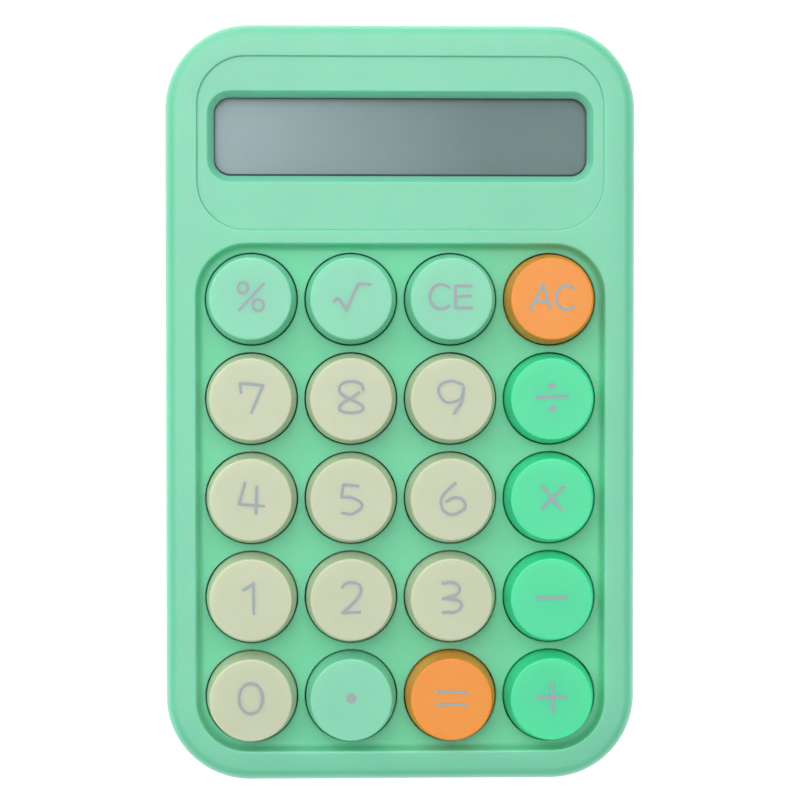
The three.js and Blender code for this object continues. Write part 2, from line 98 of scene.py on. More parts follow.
WELL_RIM = 6.6
FRONT_RIM = 6.4
WELL_WIDTH = WIDTH - 2 * WELL_RIM
WELL_LENGTH = 105.4
WELL_R = 10.5
WELL_FLOOR = -3.0
WELL_UNDERSIDE = -4.8
WELL_Y = -LENGTH / 2 + FRONT_RIM + WELL_LENGTH / 2
HOLE_R = 9.7
PANEL_RIM = 6.85
PANEL_WIDTH = WIDTH - 2 * PANEL_RIM
PANEL_LENGTH = 35.7
PANEL_R = 10.0
PANEL_FLOOR = -0.4
PANEL_Y = LENGTH / 2 - PANEL_RIM - PANEL_LENGTH / 2
LENS_MARGIN = 2.2
lens_low, lens_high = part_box("display_lens")
WINDOW_WIDTH = (lens_high.x - lens_low.x) / MM - 2 * LENS_MARGIN
WINDOW_LENGTH = 16.2
WINDOW_R = 3.4
WINDOW_Y = centre_on_deck("display_lens").y
BEVEL_WIDTH = 1.35
BEVEL_DEPTH = 1.2
ROOF_INSIDE = -1.9
WALL = 2.2

# ---------------------------------------------------------------- materials


def linear(red, green, blue):
    """A colour given as 0 to 255 display values, as linear light."""
    def one(value):
        v = value / 255
        return v / 12.92 if v <= 0.04045 else ((v + 0.055) / 1.055) ** 2.4
    return one(red), one(green), one(blue), 1.0


def new_material(name):
    material = bpy.data.materials.new(name)
    material.use_nodes = True
    tree = material.node_tree
    shader = tree.nodes["Principled BSDF"]
    return material, tree, shader


def noise(tree, scale, detail=3.0, roughness=0.5, stretch=None):
    """Noise over the piece, at a number of lumps to the metre."""
    place = tree.nodes.new("ShaderNodeTexCoord")
    texture = tree.nodes.new("ShaderNodeTexNoise")
    texture.inputs["Scale"].default_value = scale
    texture.inputs["Detail"].default_value = detail
    texture.inputs["Roughness"].default_value = roughness
    if stretch is None:
        tree.links.new(place.outputs["Object"], texture.inputs["Vector"])
    else:
        mapping = tree.nodes.new("ShaderNodeMapping")
        mapping.inputs["Scale"].default_value = stretch
        tree.links.new(place.outputs["Object"], mapping.inputs["Vector"])
        tree.links.new(mapping.outputs["Vector"], texture.inputs["Vector"])
    return texture.outputs["Fac"]


def spread(tree, value, low, high, start=0.3, end=0.7):
    """A noise value, taken to a range."""
    ranged = tree.nodes.new("ShaderNodeMapRange")
    ranged.inputs["From Min"].default_value = start
    ranged.inputs["From Max"].default_value = end
    ranged.inputs["To Min"].default_value = low
    ranged.inputs["To Max"].default_value = high
    tree.links.new(value, ranged.inputs["Value"])
    return ranged.outputs["Result"]


def between(tree, factor, first, second):
    mix = tree.nodes.new("ShaderNodeMix")
    mix.data_type = "RGBA"
    mix.inputs["A"].default_value = first
    mix.inputs["B"].default_value = second
    tree.links.new(factor, mix.inputs["Factor"])
    return mix.outputs["Result"]


def shade(colour, amount):
    return tuple(min(1.0, channel * amount) for channel in colour[:3]) + (1.0,)


def add_bump(tree, shader, height, depth, strength=1.0):
    bump = tree.nodes.new("ShaderNodeBump")
    bump.inputs["Strength"].default_value = strength
    bump.inputs["Distance"].default_value = depth
    tree.links.new(height, bump.inputs["Height"])
    tree.links.new(bump.outputs["Normal"], shader.inputs["Normal"])


def moulded_plastic(
    name, colour, roughness=0.36, mottle=0.02, grain=2.5e-6, depth=0.0, gloss=0.85, sheen=0.0, sheen_tint=None
):
    """Satin moulded plastic: a faint flow mottle in its colour, uneven gloss and a fine spark-eroded grain.

    depth is how far light travels inside it, in metres. The sheen takes the plastic's colour if it has no tint."""
    material, tree, shader = new_material(name)
    if depth:
        shader.inputs["Subsurface Weight"].default_value = 1.0
        shader.inputs["Subsurface Radius"].default_value = colour[:3]
        shader.inputs["Subsurface Scale"].default_value = depth
    flow = noise(tree, 55, detail=2)
    tint = between(tree, spread(tree, flow, 0, 1), shade(colour, 1 - mottle), shade(colour, 1 + mottle))
    tree.links.new(tint, shader.inputs["Base Color"])
    wear = noise(tree, 260, detail=4, roughness=0.6)
    tree.links.new(spread(tree, wear, roughness - 0.04, roughness + 0.05), shader.inputs["Roughness"])
    add_bump(tree, shader, noise(tree, 5200, detail=2), grain)
    shader.inputs["IOR"].default_value = 1.5
    shader.inputs["Specular IOR Level"].default_value = gloss
    shader.inputs["Sheen Weight"].default_value = sheen
    shader.inputs["Sheen Roughness"].default_value = 0.3
    shader.inputs["Sheen Tint"].default_value = (*(sheen_tint or colour)[:3], 1.0)
    return material


def rubber(name, colour):
    material, tree, shader = new_material(name)
    blotch = noise(tree, 700, detail=4)
    tint = between(tree, spread(tree, blotch, 0, 1), shade(colour, 0.8), shade(colour, 1.2))
    tree.links.new(tint, shader.inputs["Base Color"])
    tree.links.new(spread(tree, blotch, 0.75, 0.9), shader.inputs["Roughness"])
    add_bump(tree, shader, noise(tree, 2600, detail=3), 2e-5)
    return material


def plated_steel(name, colour):
    """Nickel plate, with fine drawn lines and dull patches."""
    material, tree, shader = new_material(name)
    lines = noise(tree, 900, detail=3, stretch=(1, 1, 14))
    tint = between(tree, spread(tree, lines, 0, 1), shade(colour, 0.85), shade(colour, 1.05))
    tree.links.new(tint, shader.inputs["Base Color"])
    tree.links.new(spread(tree, noise(tree, 400), 0.22, 0.4), shader.inputs["Roughness"])
    shader.inputs["Metallic"].default_value = 1.0
    add_bump(tree, shader, lines, 4e-6)
    return material


def window_acrylic(name):
    """Clear acrylic, polished, with a few faint smears in its gloss."""
    material, tree, shader = new_material(name)
    smear = noise(tree, 90, detail=5, stretch=(1, 3, 1))
    tint = between(tree, spread(tree, smear, 0, 1), linear(126, 146, 144), linear(134, 153, 152))
    tree.links.new(tint, shader.inputs["Base Color"])
    tree.links.new(spread(tree, smear, 0.03, 0.07), shader.inputs["Roughness"])
    shader.inputs["Alpha"].default_value = 0.12
    shader.inputs["IOR"].default_value = 1.49
    return material


def display_grey_and_reflection(name, pale, deep):
    """The blank liquid crystal's polariser grey, with a very faint streak along its length, made paler at the left as
    a painted reflection.
    """
    material, tree, shader = new_material(name)
    place = tree.nodes.new("ShaderNodeTexCoord")
    parts = tree.nodes.new("ShaderNodeSeparateXYZ")
    tree.links.new(place.outputs["Object"], parts.inputs["Vector"])
    half = WINDOW_WIDTH / 2 * MM
    # Painted reflection: the grey fades from pale at the left to deep at the right, across the object's X.
    painted_reflection_fade = spread(tree, parts.outputs["X"], 0, 1, start=-half, end=half * 0.6)
    streak = noise(tree, 120, detail=3, stretch=(0.3, 2, 1))
    wobble = tree.nodes.new("ShaderNodeMath")
    wobble.operation = "MULTIPLY_ADD"
    wobble.inputs[1].default_value = 0.16
    tree.links.new(streak, wobble.inputs[0])
    tree.links.new(painted_reflection_fade, wobble.inputs[2])
    tree.links.new(between(tree, wobble.outputs["Value"], pale, deep), shader.inputs["Base Color"])
    tree.links.new(spread(tree, streak, 0.16, 0.2), shader.inputs["Roughness"])
    shader.inputs["Specular IOR Level"].default_value = 0.2
    return material


def striped_film(name, colour, dark, stripes):
    """Amber film with conductor stripes along Y."""
    material, tree, shader = new_material(name)
    place = tree.nodes.new("ShaderNodeTexCoord")
    wave = tree.nodes.new("ShaderNodeTexWave")
    wave.bands_direction = "X"
    wave.inputs["Scale"].default_value = stripes
    wave.inputs["Distortion"].default_value = 0.0
    tree.links.new(place.outputs["Object"], wave.inputs["Vector"])
    tree.links.new(between(tree, wave.outputs["Fac"], colour, dark), shader.inputs["Base Color"])
    tree.links.new(spread(tree, noise(tree, 300), 0.3, 0.45), shader.inputs["Roughness"])
    return material


def lacquered_board(name, colour):
    """Green solder mask, with paler copper tracks showing through."""
    material, tree, shader = new_material(name)
    place = tree.nodes.new("ShaderNodeTexCoord")
    tracks = tree.nodes.new("ShaderNodeTexBrick")
    tracks.inputs["Scale"].default_value = 160
    tracks.inputs["Mortar Size"].default_value = 0.06
    tracks.inputs["Color1"].default_value = colour
    tracks.inputs["Color2"].default_value = shade(colour, 1.12)
    tracks.inputs["Mortar"].default_value = shade(colour, 1.8)
    tree.links.new(place.outputs["Object"], tracks.inputs["Vector"])
    tree.links.new(tracks.outputs["Color"], shader.inputs["Base Color"])
    tree.links.new(spread(tree, noise(tree, 500), 0.28, 0.4), shader.inputs["Roughness"])
    add_bump(tree, shader, tracks.outputs["Fac"], 1.5e-5)
    return material


def printed_sleeve(name, body, band):
    """The cell's film sleeve: a plain colour with a paler band at one end."""
    material, tree, shader = new_material(name)
    place = tree.nodes.new("ShaderNodeTexCoord")
    parts = tree.nodes.new("ShaderNodeSeparateXYZ")
    tree.links.new(place.outputs["Object"], parts.inputs["Vector"])
    edge = spread(tree, parts.outputs["X"], 0, 1, start=0.0118, end=0.012)
    tree.links.new(between(tree, edge, body, band), shader.inputs["Base Color"])
    tree.links.new(spread(tree, noise(tree, 350), 0.2, 0.32), shader.inputs["Roughness"])
    add_bump(tree, shader, noise(tree, 1500), 6e-6)
    return material


def ink(name, colour):
    """Matt pad-printed ink, a little thin in places."""
    material, tree, shader = new_material(name)
    patch = noise(tree, 1800, detail=4)
    tint = between(tree, spread(tree, patch, 0, 1), shade(colour, 0.95), shade(colour, 1.05))
    tree.links.new(tint, shader.inputs["Base Color"])
    tree.links.new(spread(tree, patch, 0.5, 0.65), shader.inputs["Roughness"])
    return material


def pale_floor(name, colour):
    material, tree, shader = new_material(name)
    cloud = noise(tree, 9, detail=2)
    tint = between(tree, spread(tree, cloud, 0, 1), shade(colour, 0.985), colour)
    tree.links.new(tint, shader.inputs["Base Color"])
    tree.links.new(spread(tree, cloud, 0.85, 0.95), shader.inputs["Roughness"])
    shader.inputs["Emission Color"].default_value = (1, 1, 1, 1)
    shader.inputs["Emission Strength"].default_value = 0.6
    return material


PLASTIC_DEPTH = 0.003
CASE_MINT = moulded_plastic(
    "case_mint", (0.19, 0.67, 0.435), depth=PLASTIC_DEPTH, sheen=0.3, sheen_tint=(0.86, 0.94, 1.0)
)
# Painted shade: the well takes a copy of the case plastic with less gloss and a greener colour, standing in for the
# shade in the recess.
WELL_MINT_SHADED = moulded_plastic(
    "well_mint_painted_shade", (0.19, 0.7, 0.42), roughness=0.48, depth=PLASTIC_DEPTH, gloss=0.55, sheen=0.4
)
KEY_COLOURS = {
    "key_mint": moulded_plastic("key_mint", (0.23, 0.71, 0.47), depth=PLASTIC_DEPTH, sheen=0.6),
    "key_cream": moulded_plastic("key_cream", (0.605, 0.65, 0.45), depth=PLASTIC_DEPTH, sheen=0.6),
    "key_green": moulded_plastic("key_green", (0.04, 0.79, 0.375), depth=PLASTIC_DEPTH, gloss=0.75, sheen=0.6),
    "key_orange": moulded_plastic("key_orange", (1.0, 0.345, 0.02), depth=PLASTIC_DEPTH / 12, gloss=0.6, sheen=0.6),
}
LEGEND_INK = ink("legend_ink", linear(162, 174, 178))
ACRYLIC = window_acrylic("window_acrylic")
# The display's grey carries a painted reflection, paler at the left and deeper at the right.
LCD_GREY_AND_REFLECTION = display_grey_and_reflection("lcd_grey_painted_reflection", linear(178, 201, 205), linear(112, 140, 137))
WHITE_PLASTIC = moulded_plastic("white_plastic", linear(226, 226, 220), roughness=0.5)
SWITCH_BLACK = moulded_plastic("switch_black", linear(34, 37, 38), roughness=0.5)
CHIP_BLACK = moulded_plastic("chip_black", linear(26, 27, 29), roughness=0.6)
BOARD_GREEN = lacquered_board("board_green", linear(34, 92, 58))
RIBBON_FILM = striped_film("ribbon_film", linear(176, 124, 58), linear(120, 78, 30), 500)
FOOT_RUBBER = rubber("foot_rubber", linear(66, 69, 71))
# A dark strip's colour, standing in for painted shade in the gap under the window's edge.
SHADE_STRIP_DARK = rubber("painted_shade_strip", linear(44, 68, 62))
STEEL = plated_steel("plated_steel", linear(196, 198, 200))
CELL_SLEEVE = printed_sleeve("cell_sleeve", linear(52, 96, 140), linear(196, 158, 84))

# ---------------------------------------------------------------- mesh building


def arc(x, y, radius, start, end, steps):
    return [
        (x + radius * math.cos(a), y + radius * math.sin(a))
        for a in (math.radians(start + (end - start) * i / steps) for i in range(steps + 1))
    ]


def rounded_rect(width, length, radius, y=0.0, steps=16):
    """An outline's points, anticlockwise from the right-hand end of the back right corner."""
    a, b = width / 2 - radius, length / 2 - radius
    return (
        arc(a, y + b, radius, 0, 90, steps)
        + arc(-a, y + b, radius, 90, 180, steps)
        + arc(-a, y - b, radius, 180, 270, steps)
        + arc(a, y - b, radius, 270, 360, steps)
    )


def circle(x, y, radius, steps=64):
    return arc(x, y, radius, 0, 360 * (1 - 1 / steps), steps - 1)


class Surface:
    """A mesh made of rings of points, walls between rings and flat faces inside rings."""

    def __init__(self, to_row=BASE):
        self.bm = bmesh.new()
        self.to_row = to_row

    def ring(self, outline, level, to_row=None):
        """A ring of corners at one level, or at a level that depends on the point."""
        place = self.to_row if to_row is None else to_row
        height = level if callable(level) else (lambda x, y: level)
        return [self.bm.verts.new(place @ Vector((x, y, height(x, y)))) for x, y in outline]

    def wall(self, *rings):
        for low, high in zip(rings, rings[1:]):
            for i in range(len(low)):
                j = (i + 1) % len(low)
                self.bm.faces.new((low[i], low[j], high[j], high[i]))
        return rings[-1]

    def flat(self, *rings):
        """A flat face inside the first ring, with a hole for each other ring."""
        edges = []
        for ring in rings:
            for i, corner in enumerate(ring):
                pair = (corner, ring[(i + 1) % len(ring)])
                edges.append(self.bm.edges.get(pair) or self.bm.edges.new(pair))
        bmesh.ops.triangle_fill(self.bm, use_beauty=True, use_dissolve=False, edges=edges)

    def cap(self, ring):
        self.bm.faces.new(ring)

    def finish(self, name, material, body, node=None, slot=None, smooth_angle=35):
        bmesh.ops.recalc_face_normals(self.bm, faces=self.bm.faces)
        mesh = bpy.data.meshes.new(name)
        self.bm.to_mesh(mesh)
        self.bm.free()
        return piece_of(mesh, name, material, body, node, smooth_angle)


def piece_of(mesh, name, material, body, node=None, smooth_angle=35):
    """A mesh as a piece that rides on a body, smooth but for its sharp edges."""
    mesh.materials.append(material)
    mesh.shade_smooth()
    mesh.set_sharp_from_angle(angle=math.radians(smooth_angle))
    piece = bpy.data.objects.new(name, mesh)
    bpy.context.scene.collection.objects.link(piece)
    weighted = piece.modifiers.new("flat faces stay flat", "WEIGHTED_NORMAL")
    weighted.mode = "FACE_AREA"
    weighted.weight = 100
    weighted.keep_sharp = True
    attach(piece, body)
    if node:
        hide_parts(node)
    return piece


def fillet(radius, steps=5):
    """Shares of a quarter round, as (across, down) from its upper edge to its side, in millimetres."""
    angles = [math.pi / 2 * i / steps for i in range(steps + 1)]
    return [(radius * math.sin(a), radius * (1 - math.cos(a))) for a in angles]


def turned(profile, x, y, to_row, steps=96):
    """A closed surface of revolution. The profile's (radius, level) points start and end on the axis."""
    made = Surface(to_row)
    poles = [made.bm.verts.new(to_row @ Vector((x, y, z))) for _, z in (profile[0], profile[-1])]
    rings = [made.ring(circle(x, y, r, steps), z) for r, z in profile[1:-1]]
    made.wall(*rings)
    for pole, ring in ((poles[0], rings[0]), (poles[1], rings[-1])):
        for i in range(steps):
            made.bm.faces.new((pole, ring[i], ring[(i + 1) % steps]))
    return made


# ---------------------------------------------------------------- upper shell

BAND = 5.8  # from the outline to where the rim is flat
BAND_DROP = 0.15
SHOULDER = 2.5
SHOULDER_DROP = 3.0


def crown(inset):
    """The rim's level at a distance in from the outline: flat, then a gentle slope, then a round shoulder."""
    if inset >= BAND:
        return 0.0
    share = (BAND - inset) / (BAND - SHOULDER)
    level = -BAND_DROP * share**1.6
    if inset < SHOULDER:
        level -= SHOULDER_DROP * (1 - math.sqrt(max(0.0, 1 - ((SHOULDER - inset) / SHOULDER) ** 2)))
    return level


def outline_at(inset):
    return rounded_rect(WIDTH - 2 * inset, LENGTH - 2 * inset, CORNER_R - inset, steps=28)


def well_at(outset, steps=20):
    return rounded_rect(WELL_WIDTH + 2 * outset, WELL_LENGTH + 2 * outset, WELL_R + outset, WELL_Y, steps)


def panel_at(outset):
    return rounded_rect(PANEL_WIDTH + 2 * outset, PANEL_LENGTH + 2 * outset, PANEL_R + outset, PANEL_Y, 20)


def window_at(outset):
    return rounded_rect(
        WINDOW_WIDTH + 2 * outset, WINDOW_LENGTH + 2 * outset, WINDOW_R + outset, WINDOW_Y, 12
    )


def upper_shell():
    made = Surface(DECK)
    part_edge = 0.2
    side = [made.ring(outline_at(part_edge), -PART_DEPTH)]
    side += [made.ring(outline_at(part_edge - a), d - PART_DEPTH) for a, d in fillet(part_edge, 3)[1:]]
    turns = 12
    insets = [SHOULDER * (1 - math.cos(math.pi / 2 * i / turns)) for i in range(turns + 1)]
    insets += [SHOULDER + (BAND - SHOULDER) * i / 8 for i in range(1, 9)]
    side += [made.ring(outline_at(inset), crown(inset)) for inset in insets]
    made.wall(*side)

    well_edge = [made.ring(well_at(0.5 - a), -d) for a, d in fillet(0.5)]
    draft = -0.25
    floor_round = 1.0
    well_edge += [
        made.ring(well_at(draft - floor_round * (1 - math.cos(t))), WELL_FLOOR + floor_round * (1 - math.sin(t)))
        for t in (math.pi / 2 * i / 5 for i in range(6))
    ]
    made.wall(*well_edge)

    step = [made.ring(panel_at(0.35 - a), -d) for a, d in fillet(0.25, 4)]
    step += [
        made.ring(panel_at(0.1 - 0.25 * (1 - math.cos(t))), PANEL_FLOOR + 0.15 * (1 - math.sin(t)))
        for t in (math.pi / 2 * i / 4 for i in range(1, 5))
    ]
    made.wall(*step)
    made.flat(side[-1], well_edge[0], step[0])

    bevel = [made.ring(window_at(BEVEL_WIDTH + s), PANEL_FLOOR - d) for s, d in bevel_shape()]
    bevel.append(made.ring(window_at(0.0), PANEL_FLOOR - BEVEL_DEPTH - 0.05))
    bevel.append(made.ring(window_at(0.0), ROOF_INSIDE))
    made.wall(*bevel)
    made.flat(step[-1], bevel[0])

    hole_round = 0.12
    hole_edge = fillet(hole_round, 3)
    mouths, throats = [], []
    for x, y in KEYS.values():
        rings = [made.ring(circle(x, y, HOLE_R + hole_round - a), WELL_FLOOR - d) for a, d in hole_edge]
        rings.append(made.ring(circle(x, y, HOLE_R), WELL_UNDERSIDE))
        made.wall(*rings)
        mouths.append(rings[0])
        throats.append(rings[-1])
    made.flat(well_edge[-1], *mouths)

    posts = [post_on(made, x, y, 2.5, 1.4, WELL_UNDERSIDE, -12.0) for x, y in front_posts()]
    posts += [post_on(made, x, y, 2.4, 0.0, WELL_UNDERSIDE, -15.1) for x, y in board_posts()]
    block = made.ring(well_at(1.8), WELL_UNDERSIDE)
    made.flat(block, *throats, *posts)
    roof_well = made.ring(well_at(1.8), ROOF_INSIDE)
    made.wall(block, roof_well)
    inner = made.ring(outline_at(WALL), ROOF_INSIDE)
    back = [post_on(made, x, y, 2.5, 1.4, ROOF_INSIDE, -12.0) for x, y in back_posts()]
    made.flat(inner, roof_well, bevel[-1], *back)
    inner_low = made.ring(outline_at(WALL), -PART_DEPTH)
    made.wall(inner, inner_low)
    made.flat(side[0], inner_low)
    shell = made.finish("upper_shell", CASE_MINT, "body", "top_case", "case_plastic")
    shell.data.materials.append(WELL_MINT_SHADED)
    # The well's faces take the painted-shade copy of the case plastic.
    for face in shell.data.polygons:
        spot = TO_DECK @ face.center
        if WELL_UNDERSIDE < spot.z < WELL_FLOOR + floor_round and in_well(spot):
            face.material_index = 1


def in_well(spot):
    """Whether a deck point is over the well, which takes a duller, greener copy of the case plastic as painted shade.
    """
    margin = 0.5
    return abs(spot.x) < WELL_WIDTH / 2 + margin and abs(spot.y - WELL_Y) < WELL_LENGTH / 2 + margin


def bevel_shape():
    """(outset from the bevel's outer edge, depth) of the window's sloped edge, soft at the top."""
    soft = 0.55
    slope = math.atan2(BEVEL_DEPTH, BEVEL_WIDTH)
    start = [
        (soft * math.tan(slope / 2) - soft * math.sin(slope * i / 4), soft * (1 - math.cos(slope * i / 4)))
        for i in range(5)
    ]
    return start + [(-BEVEL_WIDTH, BEVEL_DEPTH)]


def post_on(made, x, y, radius, bore, level, end):
    """A post that hangs from a flat face, with a pilot bore where it takes a screw. Gives its root ring."""
    root = made.ring(circle(x, y, radius, 32), level)
    foot = made.ring(circle(x, y, radius, 32), end)
    made.wall(root, foot)
    if bore:
        mouth = made.ring(circle(x, y, bore, 32), end)
        made.flat(foot, mouth)
        made.cap(made.wall(mouth, made.ring(circle(x, y, bore, 32), end + 4.6)))
    else:
        made.cap(foot)
    return root


def screw_spots():
    return [centre_on_deck(f"case_screw_{i}").xy for i in (1, 2, 3, 4)]


def front_posts():
    return [spot for spot in screw_spots() if spot.y < 0]


def back_posts():
    return [spot for spot in screw_spots() if spot.y > 0]


def board_posts():
    middle = KEYS["5"].lerp(KEYS["6"], 0.5)
    pitch = KEYS["6"].x - KEYS["5"].x
    spots = [(-1, 1.5), (1, 1.5), (0, -0.5), (0, 0.5)]
    return [Vector((middle.x + pitch * a, middle.y + pitch * b)) for a, b in spots]


# ---------------------------------------------------------------- lower shell and battery door

UNDERSIDE = 0.8
FLOOR_TOP = 2.8
BASE_R = 3.0
LIP = 1.4  # how far the lip stands above the parting line
LIP_THICK = 0.9
FOOT_RECESS = 0.6
DOOR_GAP = 0.3

door_low, door_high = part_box("battery_door")
hinge = next(j for j in frame["joints"] if j["name"] == "battery_door_hinge")
DOOR_PIN = 1.0
DOOR_X = door_high.x / MM - DOOR_PIN
DOOR_FRONT, DOOR_BACK = door_low.y / MM, door_high.y / MM
DOOR_BOTTOM, DOOR_TOP = door_low.z / MM, door_high.z / MM
HINGE = Vector(hinge["pos_m"]) / MM
cell_low, cell_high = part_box("battery")
CELL = (cell_low + cell_high) / 2 / MM
CELL_R = (cell_high.y - cell_low.y) / 2 / MM


def base_at(inset, steps=28):
    y = DECK_Y + PART_DEPTH * SIN
    return rounded_rect(WIDTH - 2 * inset, LENGTH * COS - 2 * inset, CORNER_R - inset, y, steps)


def deck_level(depth):
    """The level, in the base frame, of the plane at a depth below the rim."""
    def level(x, y):
        return DECK_Z + (y - DECK_Y) * math.tan(TILT) - depth / COS
    return level


def box_outline(x0, x1, y0, y1, radius=0.5, steps=4):
    outline = rounded_rect(x1 - x0, y1 - y0, radius, (y0 + y1) / 2, steps)
    return [(x + (x0 + x1) / 2, y) for x, y in outline]


def on_axis(x, y, depth):
    """Where the deck-square line through a deck point meets a depth, in the base frame."""
    return (DECK @ Vector((x, y, -depth))) / MM


def lower_shell():
    made = Surface(BASE)
    part = PART_DEPTH + SPLIT
    round_off = fillet(BASE_R, 8)
    side = [made.ring(base_at(BASE_R - a), UNDERSIDE + d) for a, d in round_off]
    side.append(made.ring(base_at(0.0), deck_level(part + 0.2)))
    side.append(made.ring(base_at(0.06), deck_level(part + 0.06)))
    side.append(made.ring(base_at(0.2), deck_level(part)))
    made.wall(*side)

    lip_out, lip_in = WALL + 0.3, WALL + 0.3 + LIP_THICK
    lip = [
        made.ring(base_at(lip_out), deck_level(part)),
        made.ring(base_at(lip_out), deck_level(PART_DEPTH - LIP)),
        made.ring(base_at(lip_in), deck_level(PART_DEPTH - LIP)),
        made.ring(base_at(lip_in), deck_level(part + 1.7)),
        made.ring(base_at(WALL), deck_level(part + 1.7)),
        made.ring(base_at(WALL), FLOOR_TOP),
    ]
    made.wall(*lip)
    made.flat(side[-1], lip[0])

    holes = []
    posts = []
    for x, y in screw_spots():
        hole, post = screw_post(made, x, y)
        holes.append(hole)
        posts.append(post)
    posts += [board_post(made, x, y) for x, y in board_posts()]
    for i in (1, 2, 3, 4):
        low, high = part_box(f"foot_{i}")
        x, y = (low.x + high.x) / 2 / MM, (low.y + high.y) / 2 / MM
        radius = (high.x - low.x) / 2 / MM + SPLIT
        mouth = made.ring(circle(x, y, radius), UNDERSIDE)
        made.cap(made.wall(mouth, made.ring(circle(x, y, radius), UNDERSIDE + FOOT_RECESS)))
        holes.append(mouth)
    door_mouth, frame_root = battery_bay(made)
    made.flat(side[0], door_mouth, *holes)
    made.flat(lip[-1], frame_root, *posts)
    made.finish("lower_shell", CASE_MINT, "body", "bottom_case", "case_plastic")


def tilted_circle(made, x, y, radius, depth, steps=32):
    """A ring round a deck-square axis, at a depth below the rim."""
    return made.ring(circle(x, y, radius, steps), -depth, DECK)


def screw_post(made, x, y):
    """A post with a counterbore from below and a hole for the screw. Gives its ring below and its root ring."""
    post_r, bore, hole = 3.6, 2.5, 1.4
    seat, top = 16.7, 12.3
    foot = on_axis(x, y, DECK_Z - UNDERSIDE + y * SIN)
    mouth = made.ring(circle(foot.x, foot.y, bore, 32), UNDERSIDE)
    bottom = made.wall(mouth, tilted_circle(made, x, y, bore, seat))
    throat = tilted_circle(made, x, y, hole, seat)
    made.flat(bottom, throat)
    rim = made.wall(throat, tilted_circle(made, x, y, hole, top))
    edge = tilted_circle(made, x, y, post_r, top)
    made.flat(edge, rim)
    root = made.ring(circle(foot.x, foot.y, post_r, 32), FLOOR_TOP)
    made.wall(edge, root)
    return mouth, root


def board_post(made, x, y):
    radius, top = 2.4, 17.3
    foot = on_axis(x, y, DECK_Z - FLOOR_TOP + y * SIN)
    root = made.ring(circle(foot.x, foot.y, radius, 32), FLOOR_TOP)
    made.cap(made.wall(root, tilted_circle(made, x, y, radius, top)))
    return root


def battery_bay(made):
    """The door's opening with its finger scoop, the bay over it, and the frame and bay seen from inside."""
    gap, frame_wall = DOOR_GAP, 1.5
    x = DOOR_X + gap
    y0, y1 = DOOR_FRONT - gap, DOOR_BACK + gap
    scoop_r, corner = 6.0, 0.6
    rect = box_outline(-x, x, y0, y1, corner)
    mid = [p for p in arc(0, y0 + 2.4, scoop_r, 204, 336, 24) if p[1] < y0 - 0.01]
    half = len(rect) * 3 // 4
    bulged = rect[:half] + mid + rect[half:]
    straight = rect[:half] + [(px, y0) for px, _ in mid] + rect[half:]
    mouth = made.ring(bulged, UNDERSIDE)
    ledge_level = DOOR_BOTTOM + 0.4
    ledge = made.wall(mouth, made.ring(bulged, ledge_level))
    door_edge = made.ring(straight, ledge_level)
    made.wall(ledge, door_edge)
    ceiling = made.wall(door_edge, made.ring(straight, DOOR_TOP + gap))
    spring_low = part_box("battery_spring")[0].x / MM
    contact_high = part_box("battery_contact")[1].x / MM
    slack = 0.35
    bx0, bx1 = spring_low, contact_high + slack
    by0, by1 = CELL.y - CELL_R - slack, CELL.y + CELL_R + slack
    roof = CELL.z + CELL_R + slack
    bay_mouth = made.ring(box_outline(bx0, bx1, by0, by1), DOOR_TOP + gap)
    made.flat(ceiling, bay_mouth)
    made.cap(made.wall(bay_mouth, made.ring(box_outline(bx0, bx1, by0, by1), roof)))
    fx, fy0, fy1 = x + frame_wall + 0.5, y0 - frame_wall, y1 + frame_wall
    frame_root = made.ring(box_outline(-fx, fx, fy0, fy1), FLOOR_TOP)
    frame_top = made.wall(frame_root, made.ring(box_outline(-fx, fx, fy0, fy1), FLOOR_TOP + 1.6))
    shape = box_outline(bx0 - frame_wall, bx1 + frame_wall, by0 - frame_wall, by1 + frame_wall, 1.0)
    bay_root = made.ring(shape, FLOOR_TOP + 1.6)
    made.flat(frame_top, bay_root)
    made.cap(made.wall(bay_root, made.ring(shape, roof + frame_wall)))
    return mouth, frame_root


